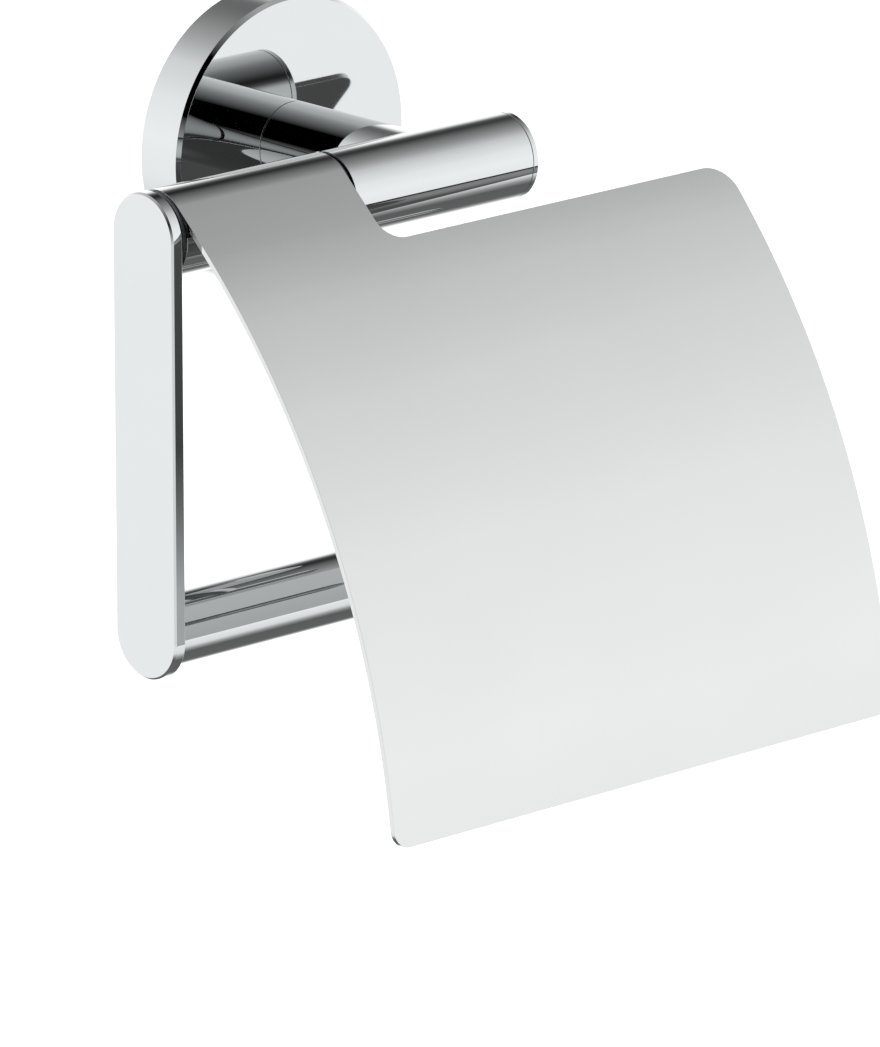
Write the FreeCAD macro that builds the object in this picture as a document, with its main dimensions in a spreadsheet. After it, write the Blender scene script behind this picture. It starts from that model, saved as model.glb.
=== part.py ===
import FreeCAD, Part
import math
import os
import Sketcher

# Wall-mounted toilet paper holder with a hinged cover sheet, in millimetres.
# +Z is up, +X runs to the free end of the bars, and the wall is the plane Y = 0 with the holder
# on its -Y side. The origin is the centre of the rosette's back face.

doc = FreeCAD.newDocument("ToiletPaperHolder")
sheet = doc.addObject("Spreadsheet::Sheet", "Sizes")


class Size:
    # A number together with the sheet formula that gives it.
    def __init__(self, value, text=None):
        self.value = float(value)
        self.text = text or "(%r)" % float(value)

    def mix(self, other, sign, value):
        return Size(value, "(%s %s %s)" % (self.text, sign, other.text))

    def __add__(self, other):
        other = asSize(other)
        return self.mix(other, "+", self.value + other.value)

    def __sub__(self, other):
        other = asSize(other)
        return self.mix(other, "-", self.value - other.value)

    def __mul__(self, other):
        other = asSize(other)
        return self.mix(other, "*", self.value * other.value)

    def __truediv__(self, other):
        other = asSize(other)
        return self.mix(other, "/", self.value / other.value)

    def __neg__(self):
        return Size(0.0) - self


def asSize(x):
    return x if isinstance(x, Size) else Size(x)


def sine(angle):
    return Size(math.sin(math.radians(angle.value)), "sin(%s * 1deg)" % angle.text)


def cosine(angle):
    return Size(math.cos(math.radians(angle.value)), "cos(%s * 1deg)" % angle.text)


row = 0


def size(alias, value, note):
    # One driving dimension: a plain number in the sheet, its alias and what it is.
    global row
    row += 1
    sheet.set("A%d" % row, note)
    sheet.set("B%d" % row, str(value))
    sheet.setAlias("B%d" % row, alias)
    return Size(value, "Sizes." + alias)


# fits
slipGap = size("slipGap", 0.02, "radial gap of pieces that are pressed or screwed together")
runningGap = size("runningGap", 0.05, "radial gap of the turning hinge")
endPlay = size("endPlay", 0.3, "gap at each end of the turning hinge")
boltGap = size("boltGap", 0.3, "radial gap of plain holes round the post stud")

# wall rosette
rosetteDiameter = size("rosetteDiameter", 55, "rosette outside diameter")
rosetteDepth = size("rosetteDepth", 10, "rosette depth from the wall to its face")
rosetteRimWall = size("rosetteRimWall", 3, "wall of the rosette's rim")
rosetteFaceWall = size("rosetteFaceWall", 2.2, "wall behind the rosette's face")
rosetteBevel = size("rosetteBevel", 0.7, "bevel round the rosette's face")

# wall bracket
bracketGap = size("bracketGap", 0.5, "radial gap between bracket and rosette")
bracketDepth = size("bracketDepth", 5, "thickness of the wall bracket")
bracketBore = size("bracketBore", 18, "centre hole of the wall bracket")
grooveDepth = size("grooveDepth", 1, "depth of the V groove round the bracket")
grooveHeight = size("grooveHeight", 3.2, "distance of the V groove from the wall")
slotSpacing = size("slotSpacing", 32, "distance between the two screw slots")
slotLength = size("slotLength", 8, "screw slot end to end")
slotWidth = size("slotWidth", 4.5, "screw slot width")
sinkWidth = size("sinkWidth", 8.6, "width of the recess for a screw head")
sinkDepth = size("sinkDepth", 2.4, "depth of the recess for a screw head")

# rosette grub screw
grubDiameter = size("grubDiameter", 4, "grub screw thread diameter")
grubRecess = size("grubRecess", 0.5, "grub screw set back from the rim")
grubTip = size("grubTip", 0.3, "radius of the flat on the grub screw's point")
grubSocket = size("grubSocket", 2, "hexagon socket across flats")
grubSocketDepth = size("grubSocketDepth", 1.5, "hexagon socket depth")

# post and its fastening
postDiameter = size("postDiameter", 15.8, "post diameter")
reach = size("reach", 42.5, "wall to the crossbar's axis")
studDiameter = size("studDiameter", 6, "thread diameter of the studs")
studBehindNut = size("studBehindNut", 1, "post stud showing behind its nut")
studPastAxis = size("studPastAxis", 3, "post stud end past the crossbar's axis")
nutFlats = size("nutFlats", 10, "nut across flats")
nutThickness = size("nutThickness", 3.2, "nut thickness")
washerDiameter = size("washerDiameter", 12, "washer diameter")
washerThickness = size("washerThickness", 1, "washer thickness")
dowelDiameter = size("dowelDiameter", 2.5, "dowel diameter")
dowelLength = size("dowelLength", 5, "dowel length")
dowelInRosette = size("dowelInRosette", 1.6, "dowel length held in the rosette")
dowelRadius = size("dowelRadius", 5.6, "dowel distance from the post's axis")

# crossbar, hinge and arm
barDiameter = size("barDiameter", 16, "crossbar diameter")
crossbarLeft = size("crossbarLeft", 20.8, "post axis to the crossbar's hinge end")
crossbarRight = size("crossbarRight", 21.8, "post axis to the crossbar's cap end")
capThickness = size("capThickness", 1.6, "thickness of the end caps")
capBevel = size("capBevel", 0.4, "bevel of the end caps")
capSpigot = size("capSpigot", 5, "length of the end caps' spigots")
spindleDiameter = size("spindleDiameter", 10, "hinge spindle diameter")
spindleEnd = size("spindleEnd", 15, "post axis to the spindle's right end")
armInner = size("armInner", 61.8, "post axis to the arm's inner face")
armThickness = size("armThickness", 2.6, "arm thickness")
armWidth = size("armWidth", 16, "arm width")
armDrop = size("armDrop", 72.6, "crossbar axis to roll bar axis")
armBevel = size("armBevel", 0.35, "bevel round the arm's faces")
armSocketDepth = size("armSocketDepth", 1.5, "depth of the blind holes in the arm")
bushLength = size("bushLength", 12, "length of a hinge bush inside the knuckle")
flangeThickness = size("flangeThickness", 0.7, "thickness of a bush flange")
flangeSetBack = size("flangeSetBack", 0.4, "bush flange rim inside the knuckle's outside")

# cover sheet
sheetThickness = size("sheetThickness", 1, "thickness of the cover sheet")
lidRight = size("lidRight", 60.8, "post axis to the cover's right edge")
lidSlope = size("lidSlope", 42.25, "slope of the cover where it leaves the knuckle, degrees")
lidStraight = size("lidStraight", 7.1, "straight run of the cover below the knuckle")
lidRadius = size("lidRadius", 158, "outside radius of the cover's curve")
lidSweep = size("lidSweep", 41.6, "angle of the cover's curve, degrees")
curlWrap = size("curlWrap", 318, "angle that the knuckle's curl goes round, degrees")
notchDepth = size("notchDepth", 15.8, "knuckle tangent line to the notch's edge")
notchRadius = size("notchRadius", 4.6, "radius in the notch's inner corner")
shoulderRadius = size("shoulderRadius", 5.5, "radius of the cover's shoulder")
footRadius = size("footRadius", 3.5, "radius of the cover's two lower corners")

# roll bar
rollBarDiameter = size("rollBarDiameter", 13, "roll bar diameter")
rollBarWall = size("rollBarWall", 1, "wall of the roll bar's tube")
rollBarEnd = size("rollBarEnd", 53.4, "post axis to the roll bar's cap seam")
insertLength = size("insertLength", 14, "length of the threaded insert")
rollStudLength = size("rollStudLength", 12, "roll bar stud length past the arm's face")
edgeBreak = size("edgeBreak", 0.5, "bevel on the ends of hidden turned pieces")

doc.recompute()

# sizes that follow from the driving ones
rosetteRadius = rosetteDiameter / 2
cavityRadius = rosetteRadius - rosetteRimWall
cavityDepth = rosetteDepth - rosetteFaceWall
bracketRadius = cavityRadius - bracketGap
studRadius = studDiameter / 2
tappedRadius = studRadius + slipGap
plainRadius = studRadius + boltGap
washerSeat = cavityDepth - washerThickness
nutSeat = washerSeat - nutThickness
studStart = nutSeat - studBehindNut
barRadius = barDiameter / 2
spindleRadius = spindleDiameter / 2
spindleBore = spindleRadius + slipGap
knuckleInner = barRadius - sheetThickness
knuckleLeft = armInner - flangeThickness - endPlay
knuckleRight = crossbarLeft + flangeThickness + endPlay
knuckleLength = knuckleLeft - knuckleRight
rollTubeInner = rollBarDiameter / 2 - rollBarWall
cutMargin = Size(2.0)

parts = []
cuts = []
toX = FreeCAD.Rotation(FreeCAD.Vector(0, 1, 0), 90)
toFront = FreeCAD.Rotation(FreeCAD.Vector(1, 0, 0), 90)
upright = FreeCAD.Rotation()


def keep(thing):
    # Lists a finished sub-part, which is written under its label.
    parts.append(thing)
    return thing


def tie(thing, **places):
    # Ties properties to sheet formulas; x, y and z stand for the placement's base.
    for name, value in places.items():
        path = "Placement.Base." + name if name in ("x", "y", "z") else name
        thing.setExpression(path, asSize(value).text)


def solid(kind, name, turn=upright, **places):
    thing = doc.addObject("Part::" + kind, name)
    thing.Placement = FreeCAD.Placement(FreeCAD.Vector(), turn)
    tie(thing, **places)
    return thing


def cut(label, base, *tools):
    # Takes drills and cutters away from a blank, and gives the result the sub-part's label.
    tool = tools[0]
    if len(tools) > 1:
        tool = doc.addObject("Part::MultiFuse", label + "_cutters")
        tool.Shapes = list(tools)
    result = doc.addObject("Part::Cut", label)
    result.Base = base
    result.Tool = tool
    result.Label = label
    cuts.append((base, result))
    return result


def originPlane(body, role):
    for feature in body.Origin.OriginFeatures:
        if feature.Role == role:
            return feature


def sketchOn(body, name, role, offset=None):
    sketch = body.newObject("Sketcher::SketchObject", name)
    sketch.AttachmentSupport = [(originPlane(body, role), "")]
    sketch.MapMode = "FlatFace"
    if offset:
        sketch.AttachmentOffset = offset
    return sketch


def pin(sketch, geometry, point, x, y):
    # Fixes one sketch point at two sheet formulas.
    for kind, axis, value in (("DistanceX", -2, x), ("DistanceY", -1, y)):
        value = asSize(value)
        if abs(value.value) < 1e-9:
            sketch.addConstraint(Sketcher.Constraint("PointOnObject", geometry, point, axis))
            continue
        index = sketch.addConstraint(Sketcher.Constraint(kind, geometry, point, value.value))
        sketch.setExpression("Constraints[%d]" % index, value.text)


def circle(sketch, radius, x=0, y=0):
    # A full circle with its centre and radius tied.
    centre = FreeCAD.Vector(asSize(x).value, asSize(y).value, 0)
    number = sketch.addGeometry(Part.Circle(centre, FreeCAD.Vector(0, 0, 1), radius.value))
    pin(sketch, number, 3, x, y)
    index = sketch.addConstraint(Sketcher.Constraint("Radius", number, radius.value))
    sketch.setExpression("Constraints[%d]" % index, radius.text)


def outline(sketch, points, arcs=None):
    # A closed outline. arcs maps a side's number to its centre and to a point where it bulges.
    arcs = arcs or {}
    flat = [FreeCAD.Vector(asSize(x).value, asSize(y).value, 0) for x, y in points]
    count = len(flat)
    for i in range(count):
        start = flat[i]
        end = flat[(i + 1) % count]
        if i in arcs:
            bulge = FreeCAD.Vector(arcs[i][1][0].value, arcs[i][1][1].value, 0)
            arc = Part.Arc(start, bulge, end)
            sketch.addGeometry(arc, False)
            continue
        sketch.addGeometry(Part.LineSegment(start, end), False)
    ends = []
    for i in range(count):
        # an arc keeps its ends in anticlockwise order, so they are read back
        first = sketch.getPoint(i, 1)
        forwards = (first - flat[i]).Length < 1e-6
        ends.append((1, 2) if forwards else (2, 1))
    for i in range(count):
        after = (i + 1) % count
        joint = Sketcher.Constraint("Coincident", i, ends[i][1], after, ends[after][0])
        sketch.addConstraint(joint)
        pin(sketch, i, ends[i][0], *points[i])
        if i in arcs:
            # the ends are fixed, so one coordinate of the centre is enough: the freer one
            across = flat[after] - flat[i]
            kind, which = ("DistanceX", 0) if abs(across.y) > abs(across.x) else ("DistanceY", 1)
            value = arcs[i][0][which]
            if abs(value.value) < 1e-9:
                axis = (-2, -1)[which]
                sketch.addConstraint(Sketcher.Constraint("PointOnObject", i, 3, axis))
                continue
            index = sketch.addConstraint(Sketcher.Constraint(kind, i, 3, value.value))
            sketch.setExpression("Constraints[%d]" % index, value.text)


def turned(label, profile):
    # A lathe piece. The profile's points are (distance along the axis, radius).
    body = doc.addObject("PartDesign::Body", label)
    body.Label = label
    sketch = sketchOn(body, label + "_profile", "XY_Plane")
    outline(sketch, profile)
    lathe = body.newObject("PartDesign::Revolution", label + "_lathe")
    lathe.Profile = sketch
    lathe.ReferenceAxis = (sketch, ["H_Axis"])
    lathe.Angle = 360
    return body


def place(thing, turn, x=0, y=0, z=0):
    thing.Placement = FreeCAD.Placement(FreeCAD.Vector(), turn)
    tie(thing, x=x, y=y, z=z)
    return thing


# a turned piece's own X axis laid along the frame's X, or pointing out from the wall
alongX = FreeCAD.Rotation()
fromWall = FreeCAD.Rotation(FreeCAD.Vector(0, 0, 1), -90)


def rosette():
    # A cup over the bracket, with a hole for the post stud, one for the dowel and one for the grub screw.
    blank = turned("rosette_blank", [
        (0, cavityRadius),
        (0, rosetteRadius),
        (rosetteDepth - rosetteBevel, rosetteRadius),
        (rosetteDepth, rosetteRadius - rosetteBevel),
        (rosetteDepth, plainRadius),
        (cavityDepth, plainRadius),
        (cavityDepth, cavityRadius),
    ])
    place(blank, fromWall)
    dowelHole = solid("Cylinder", "rosette_dowel_hole", toFront,
                      Radius=dowelDiameter / 2 + slipGap, Height=dowelLength,
                      y=-(rosetteDepth - dowelInRosette), z=dowelRadius)
    grubHole = solid("Cylinder", "rosette_grub_hole", upright,
                     Radius=grubDiameter / 2 + slipGap, Height=rosetteRimWall + cutMargin * 2,
                     y=-grooveHeight, z=-(rosetteRadius + cutMargin))
    keep(cut("rosette", blank, dowelHole, grubHole))


def slotCutter(name, side, width, length, depth, start):
    # A round-ended slot along X, cut towards the front from a distance off the wall.
    body = doc.addObject("PartDesign::Body", name)
    sketch = sketchOn(body, name + "_outline", "XZ_Plane")
    half = (length - width) / 2
    radius = width / 2
    middle = slotSpacing / 2 * side
    left = middle - half
    right = middle + half
    outline(sketch, [(left, radius), (left, -radius), (right, -radius), (right, radius)], {
        0: ((left, Size(0)), (left - radius, Size(0))),
        2: ((right, Size(0)), (right + radius, Size(0))),
    })
    pad = body.newObject("PartDesign::Pad", name + "_pad")
    pad.Profile = sketch
    tie(pad, Length=depth)
    tie(body, y=-start)
    return body


def wallBracket():
    # A thick ring screwed to the wall, with a V groove round it that the grub screw's point enters.
    blank = turned("wall_bracket_blank", [
        (0, bracketBore / 2),
        (0, bracketRadius),
        (grooveHeight - grooveDepth, bracketRadius),
        (grooveHeight, bracketRadius - grooveDepth),
        (grooveHeight + grooveDepth, bracketRadius),
        (bracketDepth, bracketRadius),
        (bracketDepth, bracketBore / 2),
    ])
    place(blank, fromWall)
    cutters = []
    for name, side in (("left", -1), ("right", 1)):
        cutters.append(slotCutter("slot_" + name, side, slotWidth, slotLength,
                                  bracketDepth + cutMargin * 2, -cutMargin))
        cutters.append(slotCutter("sink_" + name, side, sinkWidth,
                                  slotLength + sinkWidth - slotWidth,
                                  sinkDepth + cutMargin, bracketDepth - sinkDepth))
    keep(cut("wall_bracket", blank, *cutters))


def rosetteGrubScrew():
    # Its cone point stands in the bracket's groove and draws the rosette to the wall.
    radius = grubDiameter / 2
    outer = rosetteRadius - grubRecess
    point = bracketRadius - grooveDepth + grubTip
    shoulder = point + radius - grubTip
    blank = turned("rosette_grub_screw_blank", [
        (0, 0),
        (0, radius),
        (outer - shoulder, radius),
        (outer - point, grubTip),
        (outer - point, 0),
    ])
    up = FreeCAD.Rotation(FreeCAD.Vector(0, 1, 0), -90)
    place(blank, up, y=-grooveHeight, z=-outer)
    socket = solid("Prism", "grub_socket", upright,
                   Circumradius=grubSocket / math.sqrt(3), Height=grubSocketDepth,
                   y=-grooveHeight, z=-outer)
    socket.Polygon = 6
    keep(cut("rosette_grub_screw", blank, socket))


def post():
    # A thick-walled tube, coped at its front end to sit on the crossbar.
    radius = postDiameter / 2
    blank = turned("post_blank", [
        (0, plainRadius),
        (0, radius),
        (reach - rosetteDepth, radius),
        (reach - rosetteDepth, plainRadius),
    ])
    place(blank, fromWall, y=-rosetteDepth)
    saddle = solid("Cylinder", "post_saddle", toX, Radius=barRadius,
                   Height=postDiameter + cutMargin * 2,
                   x=-(radius + cutMargin), y=-reach)
    dowelHole = solid("Cylinder", "post_dowel_hole", toFront,
                      Radius=dowelDiameter / 2 + slipGap, Height=dowelLength,
                      y=-(rosetteDepth - dowelInRosette), z=dowelRadius)
    keep(cut("post", blank, saddle, dowelHole))


def postFastening():
    # One stud, washer and nut hold rosette, post, crossbar and spindle together.
    stud = turned("post_stud", [
        (0, 0),
        (0, studRadius - edgeBreak),
        (edgeBreak, studRadius),
        (reach + studPastAxis - studStart - edgeBreak, studRadius),
        (reach + studPastAxis - studStart, studRadius - edgeBreak),
        (reach + studPastAxis - studStart, 0),
    ])
    keep(place(stud, fromWall, y=-studStart))
    washer = turned("post_washer", [
        (0, plainRadius),
        (0, washerDiameter / 2),
        (washerThickness, washerDiameter / 2),
        (washerThickness, plainRadius),
    ])
    keep(place(washer, fromWall, y=-washerSeat))
    hexagon = solid("Prism", "post_nut_hexagon", toFront,
                    Circumradius=nutFlats / math.sqrt(3), Height=nutThickness, y=-nutSeat)
    hexagon.Polygon = 6
    bore = solid("Cylinder", "post_nut_bore", toFront, Radius=tappedRadius,
                 Height=nutThickness + cutMargin * 2, y=-(nutSeat - cutMargin))
    keep(cut("post_nut", hexagon, bore))
    dowel = turned("post_dowel", [
        (0, 0),
        (0, dowelDiameter / 2),
        (dowelLength, dowelDiameter / 2),
        (dowelLength, 0),
    ])
    keep(place(dowel, fromWall, y=-(rosetteDepth - dowelInRosette), z=dowelRadius))


def studHole(name):
    # The tapped hole that the post stud enters through the crossbar's wall.
    return solid("Cylinder", name, toFront, Radius=tappedRadius,
                 Height=barRadius + cutMargin + studPastAxis + edgeBreak,
                 y=-(reach - barRadius - cutMargin))


def crossbar():
    # The fixed right-hand length, bored through for the spindle.
    length = crossbarLeft + crossbarRight
    blank = turned("crossbar_blank", [
        (0, spindleBore),
        (0, barRadius),
        (length, barRadius),
        (length, spindleBore),
    ])
    place(blank, alongX, x=-crossbarLeft, y=-reach)
    keep(cut("crossbar", blank, studHole("crossbar_stud_hole")))


def endCap(label, radius, bore):
    # A bevelled disc with a spigot that is pressed into the tube it closes.
    cap = turned(label, [
        (0, 0),
        (0, bore - slipGap - edgeBreak),
        (edgeBreak, bore - slipGap),
        (capSpigot, bore - slipGap),
        (capSpigot, radius),
        (capSpigot + capThickness - capBevel, radius),
        (capSpigot + capThickness, radius - capBevel),
        (capSpigot + capThickness, 0),
    ])
    return keep(cap)


def hingeSpindle():
    # Brazed into the arm at its left end and locked in the crossbar by the post stud.
    length = armInner + spindleEnd
    blank = turned("hinge_spindle_blank", [
        (0, 0),
        (0, studRadius),
        (armSocketDepth, studRadius),
        (armSocketDepth, spindleRadius),
        (armSocketDepth + length - edgeBreak, spindleRadius),
        (armSocketDepth + length, spindleRadius - edgeBreak),
        (armSocketDepth + length, 0),
    ])
    place(blank, alongX, x=-(armInner + armSocketDepth), y=-reach)
    keep(cut("hinge_spindle", blank, studHole("spindle_stud_hole")))


def hingeBush(label, turn, x):
    # A flanged bush, pressed into one end of the knuckle and running on the spindle.
    bush = turned(label, [
        (0, spindleRadius + runningGap),
        (0, barRadius - flangeSetBack),
        (flangeThickness, barRadius - flangeSetBack),
        (flangeThickness, knuckleInner - slipGap),
        (flangeThickness + bushLength, knuckleInner - slipGap),
        (flangeThickness + bushLength, spindleRadius + runningGap),
    ])
    keep(place(bush, turn, x=x, y=-reach))


def cornerEdges(shape, y, z, x):
    # Names of the short edges through the sheet's thickness near one corner of its outline.
    near = FreeCAD.Vector(x.value, y.value, z.value)
    found = []
    for number, edge in enumerate(shape.Edges, 1):
        straight = abs(edge.Length - sheetThickness.value) < 0.05 * sheetThickness.value
        if straight and (edge.CenterOfMass - near).Length < sheetThickness.value:
            found.append("Edge%d" % number)
    return found


def lid():
    # One sheet, curled round the bushes at its left and falling in a straight run and a curve.
    # The body's own origin lies on the hinge axis, so each point is given from there.
    body = doc.addObject("PartDesign::Body", "lid")
    body.Label = "lid"
    tie(body, y=-reach)

    ring = sketchOn(body, "knuckle_outline", "YZ_Plane")
    tie(ring, **{"AttachmentOffset.Base.z": -knuckleLeft})
    circle(ring, barRadius)
    circle(ring, knuckleInner)
    knuckle = body.newObject("PartDesign::Pad", "knuckle")
    knuckle.Profile = ring
    tie(knuckle, Length=knuckleLength)

    def polar(radius, angle):
        # a point at a radius, its angle counted from the top towards the front
        return (-(radius * sine(angle)), radius * cosine(angle))

    gapFrom = lidSlope + (Size(360) - curlWrap)
    wedge = sketchOn(body, "curl_gap_outline", "YZ_Plane")
    tie(wedge, **{"AttachmentOffset.Base.z": -knuckleLeft - cutMargin})
    near = knuckleInner - cutMargin
    far = barRadius + cutMargin
    outline(wedge, [polar(near, lidSlope), polar(far, lidSlope),
                    polar(far, gapFrom), polar(near, gapFrom)])
    gap = body.newObject("PartDesign::Pocket", "curl_gap")
    gap.Profile = wedge
    gap.Reversed = True
    tie(gap, Length=knuckleLength + cutMargin * 2)
    cuts.append((knuckle, gap))

    def run(radius, distance):
        # a point on the straight run at a distance below its tangent line
        y, z = polar(radius, lidSlope)
        return (y - cosine(lidSlope) * distance, z - sine(lidSlope) * distance)

    endSlope = lidSlope + lidSweep
    startY, startZ = run(barRadius, lidStraight)
    centreY = startY + lidRadius * sine(lidSlope)
    centreZ = startZ - lidRadius * cosine(lidSlope)

    def curve(radius, slope):
        # a point on the curved stretch where the sheet has a given slope
        return (centreY - radius * sine(slope), centreZ + radius * cosine(slope))

    middle = lidSlope + lidSweep / 2
    inside = lidRadius - sheetThickness
    side = sketchOn(body, "sheet_outline", "YZ_Plane")
    tie(side, **{"AttachmentOffset.Base.z": -knuckleLeft})
    outline(side, [
        polar(barRadius, lidSlope),
        run(barRadius, lidStraight),
        curve(lidRadius, endSlope),
        curve(inside, endSlope),
        run(knuckleInner, lidStraight),
        polar(knuckleInner, lidSlope),
    ], {
        1: ((centreY, centreZ), curve(lidRadius, middle)),
        3: ((centreY, centreZ), curve(inside, middle)),
    })
    flat = body.newObject("PartDesign::Pad", "sheet")
    flat.Profile = side
    tie(flat, Length=knuckleLeft + lidRight)

    # the notch in front of the crossbar's fixed length, cut square to the straight run
    tilt = FreeCAD.Placement(FreeCAD.Vector(), FreeCAD.Rotation(FreeCAD.Vector(1, 0, 0), 0))
    plan = sketchOn(body, "notch_outline", "XY_Plane", tilt)
    tie(plan, **{"AttachmentOffset.Rotation.Angle": lidSlope})
    beyond = lidRight + cutMargin
    outline(plan, [
        (-knuckleRight, -notchDepth),
        (beyond, -notchDepth),
        (beyond, cutMargin),
        (-knuckleRight, cutMargin),
    ])
    notch = body.newObject("PartDesign::Pocket", "notch")
    notch.Profile = plan
    notch.Reversed = True
    tie(notch, Length=barRadius + cutMargin)
    cuts.append((flat, notch))
    doc.recompute()

    # rounded corners of the outline
    slopeAtNotch = lidSlope + (notchDepth - lidStraight) / lidRadius * (180 / math.pi)
    between = lidRadius - sheetThickness / 2
    notchY, notchZ = curve(between, slopeAtNotch)
    footY, footZ = curve(between, endSlope)
    corners = (
        ("notch_round", notchRadius, notchY, notchZ, [-knuckleRight]),
        ("shoulder_round", shoulderRadius, notchY, notchZ, [lidRight]),
        ("foot_rounds", footRadius, footY, footZ, [-knuckleLeft, lidRight]),
    )
    for name, radius, y, z, across in corners:
        below = body.Tip
        edges = []
        for x in across:
            edges += cornerEdges(below.Shape, y, z, x)
        rounding = body.newObject("PartDesign::Fillet", name)
        rounding.Base = (below, edges)
        tie(rounding, Radius=radius)
        doc.recompute()
    keep(body)


def arm():
    # A round-ended plate, bevelled all round both faces, with a blind hole at each end.
    body = doc.addObject("PartDesign::Body", "arm")
    body.Label = "arm"
    tie(body, x=-(armInner + armThickness), y=-reach)
    half = armWidth / 2
    plan = sketchOn(body, "arm_outline", "YZ_Plane")
    outline(plan, [(half, 0), (-half, 0), (-half, -armDrop), (half, -armDrop)], {
        0: ((Size(0), Size(0)), (Size(0), half)),
        2: ((Size(0), -armDrop), (Size(0), -armDrop - half)),
    })
    plate = body.newObject("PartDesign::Pad", "arm_plate")
    plate.Profile = plan
    tie(plate, Length=armThickness)
    doc.recompute()
    rims = []
    for number, face in enumerate(plate.Shape.Faces, 1):
        if abs(face.normalAt(0, 0).x) > 0.99:
            rims.append("Face%d" % number)
    bevel = body.newObject("PartDesign::Chamfer", "arm_bevel")
    bevel.Base = (plate, rims)
    tie(bevel, Size=armBevel)
    holes = sketchOn(body, "arm_holes", "YZ_Plane")
    tie(holes, **{"AttachmentOffset.Base.z": armThickness})
    circle(holes, tappedRadius)
    circle(holes, tappedRadius, 0, -armDrop)
    blind = body.newObject("PartDesign::Pocket", "arm_blind_holes")
    blind.Profile = holes
    tie(blind, Length=armSocketDepth)
    cuts.append((bevel, blind))
    keep(body)


def rollBar():
    # A tube screwed to a stud in the arm's lower end, and closed by a cap at its free end.
    length = armInner + rollBarEnd
    radius = rollBarDiameter / 2
    tube = turned("roll_bar", [
        (0, rollTubeInner),
        (0, radius),
        (length, radius),
        (length, rollTubeInner),
    ])
    keep(place(tube, alongX, x=-armInner, y=-reach, z=-armDrop))
    insert = turned("roll_bar_insert", [
        (0, tappedRadius),
        (0, rollTubeInner - slipGap),
        (insertLength, rollTubeInner - slipGap),
        (insertLength, tappedRadius),
    ])
    keep(place(insert, alongX, x=-armInner, y=-reach, z=-armDrop))
    studLength = armSocketDepth + rollStudLength
    stud = turned("roll_bar_stud", [
        (0, 0),
        (0, studRadius),
        (studLength - edgeBreak, studRadius),
        (studLength, studRadius - edgeBreak),
        (studLength, 0),
    ])
    keep(place(stud, alongX, x=-(armInner + armSocketDepth), y=-reach, z=-armDrop))
    cap = endCap("roll_bar_end_cap", radius, rollTubeInner)
    place(cap, alongX, x=rollBarEnd - capSpigot, y=-reach, z=-armDrop)


rosette()
wallBracket()
rosetteGrubScrew()
post()
postFastening()
crossbar()
place(endCap("crossbar_end_cap", barRadius, spindleBore), alongX,
      x=crossbarRight - capSpigot, y=-reach)
hingeSpindle()
hingeBush("hinge_bush_left", alongX, -(knuckleLeft + flangeThickness))
hingeBush("hinge_bush_right", FreeCAD.Rotation(FreeCAD.Vector(0, 0, 1), 180),
          -(knuckleRight - flangeThickness))
lid()
arm()
rollBar()

doc.recompute()

for thing in doc.Objects:
    if "Invalid" in thing.State or "Error" in thing.State:
        raise RuntimeError("%s did not build: %s" % (thing.Name, thing.State))
for before, after in cuts:
    if after.Shape.Volume > before.Shape.Volume - 0.01:
        raise RuntimeError("%s cuts nothing away" % after.Name)
for part in parts:
    if part.Shape.isNull() or not part.Shape.isValid():
        raise RuntimeError("%s is not a valid shape" % part.Label)

os.makedirs("parts", exist_ok=True)
for part in parts:
    part.Shape.exportStep("parts/%s.step" % part.Label)
    print("%-22s %10.2f mm3" % (part.Label, part.Shape.Volume))
print("%d sub-parts" % len(parts))
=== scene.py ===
import math

import bmesh
import bpy
from mathutils import Matrix, Vector


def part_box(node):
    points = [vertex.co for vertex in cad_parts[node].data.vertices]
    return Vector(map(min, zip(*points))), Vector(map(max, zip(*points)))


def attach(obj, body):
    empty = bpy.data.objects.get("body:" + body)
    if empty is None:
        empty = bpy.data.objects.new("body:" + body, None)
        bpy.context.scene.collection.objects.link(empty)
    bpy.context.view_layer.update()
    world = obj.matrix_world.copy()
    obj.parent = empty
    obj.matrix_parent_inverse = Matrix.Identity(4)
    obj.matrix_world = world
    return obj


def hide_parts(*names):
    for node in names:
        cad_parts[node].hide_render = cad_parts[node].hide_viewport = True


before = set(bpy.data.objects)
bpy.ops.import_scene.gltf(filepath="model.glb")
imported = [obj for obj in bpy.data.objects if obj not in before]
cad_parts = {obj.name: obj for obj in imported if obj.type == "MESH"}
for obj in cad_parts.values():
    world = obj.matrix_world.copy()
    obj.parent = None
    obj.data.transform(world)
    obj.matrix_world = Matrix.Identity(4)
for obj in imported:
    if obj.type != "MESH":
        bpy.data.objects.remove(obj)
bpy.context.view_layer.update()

# A chrome toilet paper holder for the wall: rosette, post, crossbar, arm, roll bar and a hinged cover sheet.
# Z is up, X runs along the bars to their free end, and the wall is the plane Y = 0 behind the holder.

mm = 0.001
alongX = Vector((1, 0, 0))
upright = Vector((0, 0, 1))
outFromWall = Vector((0, -1, 0))
overshoot = 1 * mm       # how far a cutting tool stands out past the face that it cuts
print("frame loaded:", len(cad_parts), "nodes")


def addNode(tree, kind, sockets=None, **settings):
    # One node: settings are its own properties, sockets are values or the outputs to link.
    node = tree.nodes.new(kind)
    for name, value in settings.items():
        setattr(node, name, value)
    for socket, value in (sockets or {}).items():
        if isinstance(value, bpy.types.NodeSocket):
            tree.links.new(value, node.inputs[socket])
        else:
            node.inputs[socket].default_value = value
    return node


def linearColour(hexText):
    # An sRGB hex colour as linear RGBA.
    levels = [int(hexText[i:i + 2], 16) / 255 for i in (1, 3, 5)]
    return [v / 12.92 if v <= 0.04045 else ((v + 0.055) / 1.055) ** 2.4 for v in levels] + [1.0]


def placeOf(node):
    # Middle and half size of a CAD node's box.
    low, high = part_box(node)
    return (low + high) / 2, (high - low) / 2


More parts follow.
